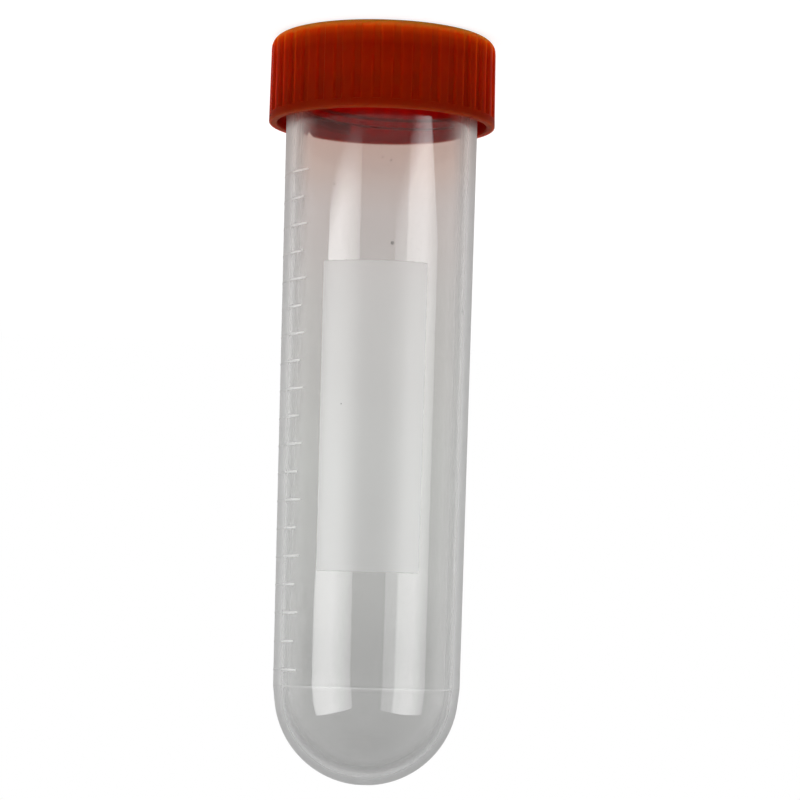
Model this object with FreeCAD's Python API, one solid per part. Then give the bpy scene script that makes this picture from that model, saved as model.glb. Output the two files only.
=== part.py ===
"""A 50 ml round-bottom sample tube with its ribbed screw cap, standing on the cap.

Each piece is turned about its own Z axis, with the outer pole of the round bottom at
z = 0, the mouth up, the writing panel facing -Y and the graduations towards -X. A closed
tube would roll on its side and can't stand on its round bottom, so the last step turns
it over onto the flat top of its cap. The panel still faces -Y then, and the graduations +X.
"""

import FreeCAD, Part
import math
import os

from FreeCAD import Placement, Rotation, Vector

# Tube, in millimetres and degrees. Heights are counted from the pole of the round bottom.
TUBE_LENGTH = 115.0
BODY_RADIUS = 14.6          # outside, at the foot of the wall
OUTER_DRAFT = 0.37          # the wall widens towards the mouth
INNER_DRAFT = 0.20
WALL = 1.15                 # at the foot of the wall
BOTTOM_THICKNESS = 1.5      # at the pole
BOTTOM_INSET = 0.2          # how much smaller the end sphere is than the wall's foot
FOOT_RISE = 0.8             # from the end sphere's centre up to the foot of the wall
FOOT_BEAD_HEIGHT = 0.04     # the ring that the mould's joint leaves round the foot
FOOT_BEAD_WIDTH = 0.3
GATE_RADIUS = 1.6           # dimple at the pole, with the gate's nub in it
GATE_DEPTH = 0.35
GATE_NUB_RADIUS = 0.5
GATE_NUB_SINK = 0.1
LIP_RADIUS = 0.35           # rounding of both edges of the mouth

# Graduations: raised arcs on the left, a long one and a short one in turn
GRADUATIONS = 19
GRADUATION_VOLUME = 2500.0  # cubic millimetres from each line to the next
GRADUATION_FIRST = 17.7
GRADUATION_SHORT = (163.0, 219.0)
GRADUATION_LONG = (163.0, 222.0)
GRADUATION_HEIGHT = 0.09
GRADUATION_WIDTH = 0.36
GRADUATION_CREST = 0.2

# Writing panel: a frosted field that stands a hair proud of the wall
PANEL_LOW = 32.9
PANEL_HEIGHT = 47.8
PANEL_WIDTH = 16.2
PANEL_TURN = -1.0           # degrees to the left of the front
PANEL_PROUD = 0.05
PANEL_CORNER = 0.8

# Screw thread, the same ridge on the neck and in the cap
THREAD_LEAD = 5.0
RIDGE_HEIGHT = 1.0
RIDGE_BASE = 2.0
RIDGE_CREST = 1.0
FLANK_CLEARANCE = 0.15      # along the axis, between the flanks that pull the cap down
CREST_CLEARANCE = 0.4       # from each crest to the wall that it runs along
NECK_THREAD_DEPTH = 8.7     # from the mouth down to the ridge's lower end
NECK_THREAD_ANGLE = 35.0
NECK_THREAD_TURNS = 1.35
CAP_THREAD_INSET = 1.9      # from the cap's rim up to its ridge's lower end
CAP_THREAD_TURNS = 1.3

# Seal liner: the disc that the cap presses on the mouth
LINER_THICKNESS = 1.0
LINER_EDGE_GAP = 0.5

# Cap
RIM_DROP = 11.0             # from the mouth down to the cap's open rim
CAP_WALL = 1.3
CAP_TOP = 1.9
CAP_DRAFT = 0.5
SHOULDER_RADIUS = 1.9
RIM_ROUNDING = 0.3
BAND_HEIGHT = 1.3           # plain band below the ribs
RIBS = 36
RIB_ANGLE = 2.4             # the first rib's middle, from the front towards the right
GROOVE_DEPTH = 0.5
GROOVE_FLOOR = 1.0
GROOVE_MOUTH = 1.75
BEAD_HEIGHT = 0.5           # bead inside the cap that keeps the liner in
BEAD_DEPTH = 1.0
BEAD_GAP = 0.1

SINK = 0.3                  # how far added ridges reach into the wall that they stand on
AXIS = Vector(0, 0, 1)
ORIGIN = Vector(0, 0, 0)


def slope(degrees):
    return math.tan(math.radians(degrees))


# Sizes that follow from the ones above
END_RADIUS = BODY_RADIUS - BOTTOM_INSET
FOOT = END_RADIUS + FOOT_RISE
NECK_RADIUS = BODY_RADIUS + (TUBE_LENGTH - FOOT) * slope(OUTER_DRAFT)
CAP_BORE = NECK_RADIUS + RIDGE_HEIGHT + CREST_CLEARANCE
CAP_RADIUS = CAP_BORE + CAP_WALL
RIM = TUBE_LENGTH - RIM_DROP
CEILING = TUBE_LENGTH + LINER_THICKNESS
OVERALL = CEILING + CAP_TOP
# half the two ridges' widths added up where they overlap, and the clearance
THREAD_OFFSET = (
    RIDGE_BASE
    - (RIDGE_HEIGHT + CREST_CLEARANCE) * (RIDGE_BASE - RIDGE_CREST) / (2 * RIDGE_HEIGHT)
    + FLANK_CLEARANCE
)


def outer_radius(height):
    """The tube's outer wall above its foot."""
    return BODY_RADIUS + (height - FOOT) * slope(OUTER_DRAFT)


def inner_radius(height):
    """The tube's bore above its round bottom."""
    return BODY_RADIUS - WALL + (height - FOOT) * slope(INNER_DRAFT)


def profile(*pieces):
    """A face in the XZ plane from points (radius, height) and arcs, which are three such points."""
    edges = []
    for piece in pieces:
        points = [Vector(r, 0, z) for r, z in piece]
        if len(points) == 3:
            edges.append(Part.Arc(*points).toShape())
        else:
            edges.append(Part.makeLine(*points))
    return Part.Face(Part.Wire(edges))


def turned(face, angle=360.0):
    return face.revolve(ORIGIN, AXIS, angle)


def on_circle(centre, radius, degrees):
    """The point of a circle in the half plane, with 0 degrees outwards and 90 up."""
    a = math.radians(degrees)
    return centre[0] + radius * math.cos(a), centre[1] + radius * math.sin(a)


def chain(points):
    """The straight pieces through a list of points."""
    return list(zip(points, points[1:]))


def tube_wall():
    """The turned shape of the tube: draft wall, ring at its foot, round bottom and gate mark."""
    # the flank runs from the foot of the wall to touch the end sphere
    to_foot = math.hypot(BODY_RADIUS, FOOT_RISE)
    flank = math.degrees(math.acos(END_RADIUS / to_foot) - math.atan2(FOOT_RISE, BODY_RADIUS))
    pole_centre = (0.0, END_RADIUS)
    touch = on_circle(pole_centre, END_RADIUS, -flank)
    gate_angle = 90 - math.degrees(math.asin(GATE_RADIUS / END_RADIUS))
    gate_edge = on_circle(pole_centre, END_RADIUS, -gate_angle)
    bottom_mid = on_circle(pole_centre, END_RADIUS, -(flank + gate_angle) / 2)
    nub = [(0.0, GATE_NUB_SINK), (GATE_NUB_RADIUS, GATE_NUB_SINK)]
    dimple = [(GATE_NUB_RADIUS, GATE_DEPTH), (GATE_RADIUS - GATE_DEPTH, GATE_DEPTH), gate_edge]

    # the bore's end sphere touches its draft wall
    draft = math.radians(INNER_DRAFT)
    at_zero = inner_radius(0.0)
    centre = (BOTTOM_THICKNESS + at_zero * math.cos(draft)) / (1 - math.sin(draft))
    bore_end = (at_zero + centre * math.tan(draft)) * math.cos(draft)
    bore_centre = (0.0, centre)
    bore_touch = on_circle(bore_centre, bore_end, -INNER_DRAFT)
    bore_mid = on_circle(bore_centre, bore_end, -45)
    bore_pole = (0.0, centre - bore_end)

    half = FOOT_BEAD_WIDTH / 2
    bead = [
        (BODY_RADIUS, FOOT),
        (BODY_RADIUS + FOOT_BEAD_HEIGHT, FOOT + half / 2),
        (BODY_RADIUS + FOOT_BEAD_HEIGHT, FOOT + 1.5 * half),
        (outer_radius(FOOT + 2 * half), FOOT + 2 * half),
    ]
    lip = LIP_RADIUS
    shelf = TUBE_LENGTH - lip
    out_lip, in_lip = (outer_radius(shelf) - lip, shelf), (inner_radius(shelf) + lip, shelf)
    return turned(
        profile(
            *chain(nub + dimple),
            (gate_edge, bottom_mid, touch),
            (touch, bead[0]),
            *chain(bead),
            (bead[-1], (outer_radius(shelf), shelf)),
            (on_circle(out_lip, lip, 0), on_circle(out_lip, lip, 45), on_circle(out_lip, lip, 90)),
            ((out_lip[0], TUBE_LENGTH), (in_lip[0], TUBE_LENGTH)),
            (on_circle(in_lip, lip, 90), on_circle(in_lip, lip, 135), on_circle(in_lip, lip, 180)),
            ((inner_radius(shelf), shelf), bore_touch),
            (bore_touch, bore_mid, bore_pole),
            (bore_pole, nub[0]),
        )
    )


def ridge(root, crest, start, height, turns):
    """A screw ridge from its root radius to its crest, starting at an angle and a height."""
    inward = math.copysign(1.0, crest - root)
    half_base, half_crest = RIDGE_BASE / 2, RIDGE_CREST / 2
    corners = [
        (root - inward * SINK, -half_base),
        (root, -half_base),
        (crest, -half_crest),
        (crest, half_crest),
        (root, half_base),
        (root - inward * SINK, half_base),
    ]
    section = Part.makePolygon([Vector(r, 0, z) for r, z in corners + corners[:1]])
    path = Part.makeHelix(THREAD_LEAD, THREAD_LEAD * turns, root)
    swept = path.makePipeShell([section], True, True)
    swept.Placement = Placement(Vector(0, 0, height), Rotation(AXIS, start))
    return swept


def neck_thread():
    return ridge(
        NECK_RADIUS,
        NECK_RADIUS + RIDGE_HEIGHT,
        NECK_THREAD_ANGLE,
        TUBE_LENGTH - NECK_THREAD_DEPTH,
        NECK_THREAD_TURNS,
    )


def cap_thread():
    """The cap's ridge hooks under the neck's, so it lies on the same helix, an offset lower."""
    height = RIM + CAP_THREAD_INSET
    along = height + THREAD_OFFSET - (TUBE_LENGTH - NECK_THREAD_DEPTH)
    start = NECK_THREAD_ANGLE + 360 * along / THREAD_LEAD
    return ridge(CAP_BORE, CAP_BORE - RIDGE_HEIGHT, start, height, CAP_THREAD_TURNS)


def graduation_heights():
    """Lines one measure apart, in a bore that widens upwards."""
    heights = [GRADUATION_FIRST]
    while len(heights) < GRADUATIONS:
        area = math.pi * inner_radius(heights[-1]) ** 2
        heights.append(heights[-1] + GRADUATION_VOLUME / area)
    return heights


def graduation(height, first, last):
    radius = outer_radius(height)
    half_base, half_crest = GRADUATION_WIDTH / 2, GRADUATION_CREST / 2
    corners = [
        (radius - SINK, height - half_base),
        (radius, height - half_base),
        (radius + GRADUATION_HEIGHT, height - half_crest),
        (radius + GRADUATION_HEIGHT, height + half_crest),
        (radius, height + half_base),
        (radius - SINK, height + half_base),
    ]
    arc = turned(profile(*chain(corners + corners[:1])), last - first)
    arc.rotate(ORIGIN, AXIS, first)
    return arc


def panel():
    """A shell a hair proud of the wall, cut to a rectangle with round corners."""
    low, high = PANEL_LOW, PANEL_LOW + PANEL_HEIGHT
    corners = [
        (outer_radius(low) - SINK, low),
        (outer_radius(low) + PANEL_PROUD, low),
        (outer_radius(high) + PANEL_PROUD, high),
        (outer_radius(high) - SINK, high),
    ]
    shell = turned(profile(*chain(corners + corners[:1])))
    block = Part.makeBox(
        PANEL_WIDTH, 2 * BODY_RADIUS, PANEL_HEIGHT, Vector(-PANEL_WIDTH / 2, -2 * BODY_RADIUS, low)
    )
    upright = [e for e in block.Edges if abs(e.tangentAt(e.FirstParameter).y) > 0.9]
    field = shell.common(block.makeFillet(PANEL_CORNER, upright))
    field.rotate(ORIGIN, AXIS, PANEL_TURN)
    return field


def make_tube():
    added = [neck_thread(), panel()]
    for i, height in enumerate(graduation_heights()):
        first, last = GRADUATION_SHORT if i % 2 else GRADUATION_LONG
        added.append(graduation(height, first, last))
    return tube_wall().fuse(added)


def crest_radius(height):
    """The cap's outside over its ribs, which narrows towards its top."""
    return CAP_RADIUS - (height - RIM) * slope(CAP_DRAFT)


def cap_shell():
    edge = RIM_ROUNDING
    low = (crest_radius(RIM) - edge, RIM + edge)
    high = (crest_radius(OVERALL) - SHOULDER_RADIUS, OVERALL - SHOULDER_RADIUS)
    bead_top = TUBE_LENGTH - BEAD_GAP
    bead_low = bead_top - BEAD_HEIGHT
    bead_radius = CAP_BORE - BEAD_DEPTH
    return turned(
        profile(
            ((CAP_BORE, RIM), (low[0], RIM)),
            (on_circle(low, edge, -90), on_circle(low, edge, -45), on_circle(low, edge, 0)),
            (on_circle(low, edge, 0), on_circle(high, SHOULDER_RADIUS, 0)),
            (
                on_circle(high, SHOULDER_RADIUS, 0),
                on_circle(high, SHOULDER_RADIUS, 45),
                on_circle(high, SHOULDER_RADIUS, 90),
            ),
            ((high[0], OVERALL), (0.0, OVERALL)),
            ((0.0, OVERALL), (0.0, CEILING)),
            ((0.0, CEILING), (CAP_BORE, CEILING)),
            ((CAP_BORE, CEILING), (CAP_BORE, bead_top)),
            ((CAP_BORE, bead_top), (bead_radius, bead_top)),
            ((bead_radius, bead_top), (bead_radius, bead_low + BEAD_HEIGHT / 2)),
            ((bead_radius, bead_low + BEAD_HEIGHT / 2), (CAP_BORE, bead_low)),
            ((CAP_BORE, bead_low), (CAP_BORE, RIM)),
        )
    )


def groove():
    """The cutter for one groove, facing the front, from the band up past the cap's top."""
    floor, out = CAP_RADIUS - GROOVE_DEPTH, CAP_RADIUS + GROOVE_DEPTH
    widen = GROOVE_MOUTH - GROOVE_FLOOR
    corners = [
        (-GROOVE_FLOOR / 2, -floor),
        (GROOVE_FLOOR / 2, -floor),
        (GROOVE_FLOOR / 2 + widen, -out),
        (-GROOVE_FLOOR / 2 - widen, -out),
    ]
    low = RIM + BAND_HEIGHT
    outline = Part.makePolygon([Vector(x, y, low) for x, y in corners + corners[:1]])
    return Part.Face(outline).extrude(Vector(0, 0, OVERALL - low + SHOULDER_RADIUS))


def make_cap():
    step = 360.0 / RIBS
    cutters = []
    for i in range(RIBS):
        cutter = groove()
        cutter.rotate(ORIGIN, AXIS, RIB_ANGLE + (i + 0.5) * step)
        cutters.append(cutter)
    return cap_shell().cut(cutters).fuse(cap_thread())


def make_liner():
    return Part.makeCylinder(CAP_BORE - LINER_EDGE_GAP, LINER_THICKNESS, Vector(0, 0, TUBE_LENGTH))


def stood_on_cap(pieces):
    """Turns the closed tube over, so that it stands on the flat top of its cap."""
    over = Placement(Vector(0, 0, OVERALL), Rotation(Vector(0, 1, 0), 180))
    for shape in pieces.values():
        shape.Placement = over.multiply(shape.Placement)


def main():
    os.makedirs("parts", exist_ok=True)
    pieces = {"tube": make_tube(), "cap": make_cap(), "seal_liner": make_liner()}
    stood_on_cap(pieces)
    for name, shape in pieces.items():
        print(name, shape.isValid(), len(shape.Solids), round(shape.Volume, 2))
        shape.exportStep(f"parts/{name}.step")
    print("overall height", round(OVERALL, 3), "cap", round(2 * CAP_RADIUS, 3))


main()
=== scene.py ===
"""Looks of a 50 ml round-bottom sample tube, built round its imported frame.

The closed tube stands on the flat top of its screw cap, so every height below is counted
down from the pole of the round bottom, which is the highest point. Angles round the tube
are counted from the front, the side of the writing panel, towards the volume lines.
"""

import math

import bmesh
import bpy
from bpy.props import FloatProperty, FloatVectorProperty, IntProperty, PointerProperty
from bpy.types import Operator, Panel, PropertyGroup
from mathutils import Matrix, Vector


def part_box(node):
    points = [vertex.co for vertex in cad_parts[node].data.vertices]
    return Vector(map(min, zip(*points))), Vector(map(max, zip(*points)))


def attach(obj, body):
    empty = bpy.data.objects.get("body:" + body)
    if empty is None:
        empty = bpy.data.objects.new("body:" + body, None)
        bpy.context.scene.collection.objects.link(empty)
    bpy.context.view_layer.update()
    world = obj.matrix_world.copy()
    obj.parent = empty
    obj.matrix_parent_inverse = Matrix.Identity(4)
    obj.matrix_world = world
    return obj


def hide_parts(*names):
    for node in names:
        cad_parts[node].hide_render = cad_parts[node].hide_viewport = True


bl_info = {
    "name": "Round-bottom Sample Tube",
    "version": (1, 0, 0),
    "blender": (4, 5, 0),
    "location": "3D View > Sidebar > Sample Tube",
    "description": "Builds a clear round-bottom sample tube, its ribbed screw cap and a studio",
    "category": "Add Mesh",
}

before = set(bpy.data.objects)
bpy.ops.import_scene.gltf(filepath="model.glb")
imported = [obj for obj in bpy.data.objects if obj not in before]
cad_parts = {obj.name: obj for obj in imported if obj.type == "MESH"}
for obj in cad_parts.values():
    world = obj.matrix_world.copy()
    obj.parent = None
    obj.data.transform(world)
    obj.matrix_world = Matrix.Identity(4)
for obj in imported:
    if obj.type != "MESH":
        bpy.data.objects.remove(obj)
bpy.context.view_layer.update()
MM = 0.001

# Places that the frame gives
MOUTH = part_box("tube")[0].z
CAP_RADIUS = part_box("cap")[1].y
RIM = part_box("cap")[1].z
LINER_LOW, LINER_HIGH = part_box("seal_liner")

# Tube wall, as heights from the pole and radii
TUBE_LENGTH = 115.0 * MM
POLE = MOUTH + TUBE_LENGTH
FOOT = 15.2 * MM
OUTER_DRAFT = math.radians(0.37)
INNER_DRAFT = math.radians(0.20)
END_INSET = 0.2 * MM
FOOT_CORNER = 0.15 * MM
FOOT_MARK = 0.65
GATE_RADIUS = 1.6 * MM
GATE_DEPTH = 0.35 * MM
GATE_NUB_RADIUS = 0.5 * MM
GATE_NUB_SINK = 0.1 * MM
GATE_NUB_FLARE = 0.05 * MM
LIP_RADIUS = 0.35 * MM
LIP_STEPS = 6
BOTTOM_RINGS = 28
NECK_RINGS = 8
BORE_RINGS = 12
BORE_END = -89.0

# Volume lines
LINES = 19
LINE_VOLUME = 2500.0 * MM**3
LINE_FIRST = 17.7 * MM
LINE_ENDS = (math.radians(48.0), math.radians(51.0))
LINE_BACK = math.radians(107.0)
LINE_HEIGHT = 0.03 * MM
LINE_WIDTH = 0.36 * MM
LINE_CREST = 0.2 * MM
LINE_REACH = 0.6 * LINE_CREST
# Angles between which what stands out of the wall is a line and not the panel
LINE_MARKED = (0.75, 2.0)

# Writing panel
PANEL_LOW = 32.9 * MM
PANEL_HIGH = 80.7 * MM
PANEL_COLUMNS = 35
PANEL_TURN = math.radians(1.0)
PANEL_PROUD = 0.03 * MM
PANEL_EDGE = 0.06 * MM
PANEL_CORNER = 0.3 * MM
PANEL_SLACK = 0.01 * MM
PANEL_TURN_SLACK = math.radians(0.1)
PANEL_FADE = 0.08 * MM

# Tint of the wall from the mouth to the pole: the red and pink near the mouth are the cap's red
# glow, painted on the wall, and the wall turns darker towards the pole
WALL_TINT_AND_CAP_GLOW = [
    (0.0, (1.40, 0.48, 0.38)),
    (0.086, (1.40, 0.50, 0.40)),
    (0.101, (1.0, 0.83, 0.77)),
    (0.15, (0.995, 0.87, 0.82)),
    (0.20, (1.0, 0.94, 0.925)),
    (0.33, (1.0, 0.98, 0.97)),
    (0.55, (1.0, 1.0, 0.99)),
    (0.78, (0.97, 0.97, 0.965)),
    (1.0, (0.92, 0.92, 0.92)),
]

# Tint of the wall and of the round bottom, blur and clearness of both, and tint and frost of
# the panel, from face-on to edge-on, where light has most plastic to pass
EDGE_TINT = [
    (0.10, 0.88),
    (0.20, 0.92),
    (0.33, 0.97),
    (0.43, 1.0),
    (0.5, 0.88),
    (0.6, 0.65),
    (0.7, 0.54),
    (1.0, 0.47),
]
DOME_TINT = [
    (0.10, 0.88),
    (0.20, 0.92),
    (0.33, 0.97),
    (0.39, 0.98),
    (0.46, 0.87),
    (0.54, 0.62),
    (0.65, 0.52),
    (1.0, 0.45),
]
EDGE_BLUR = [(0.0, 0.035), (0.4, 0.035), (0.5, 0.1), (0.6, 0.25), (0.75, 0.4), (1.0, 0.45)]
EDGE_CLEARNESS = [
    (0.28, 1.0),
    (0.36, 0.96),
    (0.44, 0.87),
    (0.5, 0.79),
    (0.6, 0.6),
    (0.7, 0.42),
    (1.0, 0.35),
]
PANEL_TINT = [(0.3, 0.95), (0.5, 0.88), (0.6, 0.65), (0.7, 0.54), (1.0, 0.47)]
PANEL_FROST = [(0.3, 1.0), (0.5, 0.0)]

# Finish of the clear plastic
CLOUD_SIZE = 9.0 * MM
CLOUD_SHADE = 0.06
CLOUD_BLUR = 0.02
GRAIN_SIZE = 0.25 * MM
PANEL_GRAIN = 0.04
PANEL_RELIEF = 0.1
WAVE_SIZE = 4.0 * MM
WAVE_STRETCH = 0.12
WAVE_RELIEF = 0.03
RELIEF_DEPTH = 0.02 * MM
LINE_SHADE = 0.12
LINE_BLUR = 0.3
LINE_HAZE = 0.25

# Dust specks on the wall, as angle, height and radius
SPECK_SHADE = 0.75
SPECKS = [
    (math.radians(-8.6), 83.4 * MM, 0.36 * MM),
    (math.radians(27.4), 92.5 * MM, 0.24 * MM),
    (math.radians(-1.5), 96.6 * MM, 0.14 * MM),
    (math.radians(-6.5), 96.2 * MM, 0.16 * MM),
    (math.radians(-64.5), 74.0 * MM, 0.26 * MM),
    (math.radians(19.3), 58.5 * MM, 0.15 * MM),
    (math.radians(58.3), 28.0 * MM, 0.12 * MM),
]

# Screw thread
THREAD_LEAD = 5.0 * MM
RIDGE_HEIGHT = 1.0 * MM
RIDGE_BASE = 2.0 * MM
RIDGE_CREST = 1.0 * MM
RIDGE_SINK = 0.3 * MM
RIDGE_STEPS = 90
NECK_THREAD_START = math.radians(235.0)
NECK_THREAD_HEIGHT = POLE - 106.3 * MM
NECK_THREAD_TURNS = 1.35
CAP_THREAD_START = math.radians(159.4)
CAP_THREAD_HEIGHT = POLE - 105.9 * MM
CAP_THREAD_TURNS = 1.3

# Cap
CAP_BORE = CAP_RADIUS - 1.3 * MM
CAP_TOP = 1.9 * MM
CAP_DRAFT = math.radians(0.5)
FLAT_RADIUS = 12.0 * MM
SHOULDER_RADIUS = 1.9 * MM
SHOULDER_STEPS = 12
SHOULDER_END = SHOULDER_RADIUS + 0.05 * MM
RIM_ROUNDING = 0.3 * MM
RIM_STEPS = 5
BORE_EDGE = 0.2 * MM
BORE_STEPS = 4
SKIRT_RINGS = 8
BAND_HEIGHT = 1.3 * MM
BAND_LEDGE = 0.12 * MM
GROOVE_ANGLE = math.radians(2.6)
GROOVE_FLOOR = 1.0 * MM
GROOVE_FLANK = 0.75
COLUMNS_PER_RIB = 20
BEAD_INNER = CAP_BORE - 1.0 * MM
BEAD_LOW = MOUTH + 0.1 * MM
BEAD_HIGH = MOUTH + 0.6 * MM

# Gains that paint light and shade on the cap's colour. From the flat top to the rim: a painted glow
# on the flat top and shoulder, painted shade darkening towards the rim and a painted brownish sheen
# at the rim's edge. From the crests into the grooves: painted light that lifts the grooves' shade,
# most on their flanks
CAP_PAINTED_LIGHT = [
    (0.0, (3.0, 34.0, 110.0)),
    (0.043, (2.9, 17.0, 40.0)),
    (0.10, (2.2, 5.0, 3.0)),
    (0.173, (1.4, 2.2, 1.0)),
    (0.288, (0.96, 1.1, 0.5)),
    (0.55, (0.86, 1.0, 0.5)),
    (0.8, (0.62, 0.8, 0.5)),
    (0.94, (0.54, 0.8, 0.5)),
    (0.965, (0.52, 1.1, 3.0)),
    (1.0, (0.54, 2.2, 10.0)),
]
GROOVE_PAINTED_LIGHT = [(0.0, 1.0), (0.25, 1.22), (0.6, 1.3), (1.0, 1.12)]
CAP_CLOUD_SIZE = 5.0 * MM
CAP_CLOUD_SHADE = 0.16
CAP_GRAIN_SIZE = 0.18 * MM
CAP_GRAIN_BLUR = 0.10

# Seal liner
LINER_SEGMENTS = 144
LINER_RING = 0.6
LINER_STEPS = 4
CELL_SIZE = 0.3 * MM
CELL_DEPTH = 0.05 * MM
CELL_SHADE = 0.9

# Small flat at the middle of the cap and of the liner, and slack in picking out a ring
HUB_RADIUS = 0.4 * MM
SAME_HEIGHT = 1e-7
SAME_RADIUS = 1e-6
SMOOTH_ANGLE = math.radians(20.0)


class TubeSettings(PropertyGroup):
    body_radius: FloatProperty(
        name="Body radius",
        description="Outside radius at the foot of the wall",
        default=14.6 * MM,
        unit="LENGTH",
        precision=4,
    )
    wall: FloatProperty(
        name="Wall",
        description="Thickness of the wall at its foot",
        default=1.15 * MM,
        unit="LENGTH",
        precision=4,
    )
    bottom: FloatProperty(
        name="Bottom thickness",
        description="Thickness at the pole of the round bottom",
        default=1.5 * MM,
        unit="LENGTH",
        precision=4,
    )
    segments: IntProperty(
        name="Segments", description="Columns round the tube", default=195, min=65
    )
    colour: FloatVectorProperty(
        name="Plastic",
        description="Colour of the clear plastic",
        default=(0.86, 0.86, 0.855),
        subtype="COLOR",
    )
    clearness: FloatProperty(
        name="Clearness",
        description="Share of the light that passes instead of being scattered by the milky haze",
        default=0.998,
        min=0.0,
        max=1.0,
        subtype="FACTOR",
    )
    panel_haze: FloatProperty(
        name="Panel haze",
        description="Extra haze of the writing panel",
        default=0.045,
        subtype="FACTOR",
    )
    panel_roughness: FloatProperty(
        name="Panel roughness",
        description="Frost of the writing panel",
        default=0.3,
        subtype="FACTOR",
    )


class CapSettings(PropertyGroup):
    ribs: IntProperty(name="Ribs", description="Ribs round the skirt", default=36, min=8)
    groove_depth: FloatProperty(
        name="Groove depth",
        description="Depth of the grooves between the ribs",
        default=0.5 * MM,
        unit="LENGTH",
        precision=4,
    )
    colour: FloatVectorProperty(
        name="Plastic",
        description="Colour of the cap",
        default=(0.217, 0.0073, 0.00035),
        subtype="COLOR",
    )
    roughness: FloatProperty(
        name="Roughness", description="Gloss of the cap", default=0.6, subtype="FACTOR"
    )


class LinerSettings(PropertyGroup):
    edge: FloatProperty(
        name="Edge rounding",
        description="Rounding of the disc's two edges",
        default=0.12 * MM,
        unit="LENGTH",
        precision=4,
    )
    colour: FloatVectorProperty(
        name="Foam",
        description="Colour of the foam disc",
        default=(0.80, 0.79, 0.75),
        subtype="COLOR",
    )


class StageSettings(PropertyGroup):
    floor_colour: FloatVectorProperty(
        name="Floor",
        description="Colour of the floor",
        default=(0.86, 0.86, 0.86),
        subtype="COLOR",
    )
    strip_strength: FloatProperty(
        name="Strips",
        description="Power of the boxes that the plastic mirrors",
        default=9.3,
        unit="POWER",
    )
    fill_strength: FloatProperty(
        name="Side fill",
        description="Power of each soft light beside the camera",
        default=4.5,
        unit="POWER",
    )
    low_strength: FloatProperty(
        name="Low fill",
        description="Power of the soft light from the floor in front",
        default=1.6,
        unit="POWER",
    )
    top_strength: FloatProperty(
        name="Overhead light",
        description="Power of the overhead light",
        default=9.0,
        unit="POWER",
    )
    backdrop: FloatProperty(
        name="Backdrop",
        description="Brightness of the light from behind",
        default=1.0,
        subtype="FACTOR",
    )
    ambient: FloatProperty(
        name="Ambient", description="Brightness of the room", default=0.07, subtype="FACTOR"
    )


# Mesh tools


def rest():
    """Back to object mode with nothing selected."""
    if bpy.context.object and bpy.context.object.mode != "OBJECT":
        bpy.ops.object.mode_set(mode="OBJECT")
    bpy.ops.object.select_all(action="DESELECT")


def angle_of(place):
    """Angle round the axis from the front, towards the volume lines."""
    return math.atan2(place.x, -place.y)


def radius_of(place):
    return math.hypot(place.x, place.y)


def pick(test):
    """Selects the vertices of the mesh in edit mode whose place passes a test."""
    mesh = bpy.context.object.data
    shape = bmesh.from_edit_mesh(mesh)
    for vertex in shape.verts:
        vertex.select = test(vertex.co)
    shape.select_flush_mode()
    bmesh.update_edit_mesh(mesh)


def widen(factor, height=0.0):
    """Scales what is selected away from the axis."""
    bpy.ops.transform.resize(value=(factor, factor, 1.0), center_override=(0.0, 0.0, height))


def turn(angle):
    """Turns what is selected round the axis, anticlockwise from above."""
    bpy.ops.transform.rotate(value=-angle, orient_axis="Z", center_override=(0.0, 0.0, 0.0))


def lathe(name, outline, segments):
    """Draws a ring out along an outline of (radius, height above the floor) and closes its ends."""
    rest()
    radius, height = outline[0]
    start = (0.0, 0.0, height)
    bpy.ops.mesh.primitive_circle_add(vertices=segments, radius=radius, location=start)
    piece = bpy.context.object
    piece.name = name
    bpy.ops.object.transform_apply(location=True, rotation=False, scale=False)
    bpy.ops.object.mode_set(mode="EDIT")
    bpy.ops.mesh.select_mode(type="VERT")
    for before, after in zip(outline, outline[1:]):
        rise = (0.0, 0.0, after[1] - before[1])
        bpy.ops.mesh.extrude_region_move(TRANSFORM_OT_translate={"value": rise})
        if after[0] != before[0]:
            widen(after[0] / before[0], after[1])
    bpy.ops.mesh.merge(type="CENTER")
    pick(lambda p: radius_of(p) < radius + SAME_RADIUS and abs(p.z - height) < SAME_HEIGHT)
    bpy.ops.mesh.edge_face_add()
    bpy.ops.mesh.select_all(action="SELECT")
    bpy.ops.mesh.normals_make_consistent(inside=False)
    bpy.ops.object.mode_set(mode="OBJECT")
    return piece


def arc(centre, radius, first, last, steps):
    """Points of an arc in (radius, height), with 0 degrees outwards and 90 up."""
    points = []
    for i in range(steps + 1):
        a = math.radians(first + (last - first) * i / steps)
        points.append((centre[0] + radius * math.cos(a), centre[1] + radius * math.sin(a)))
    return points


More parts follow.
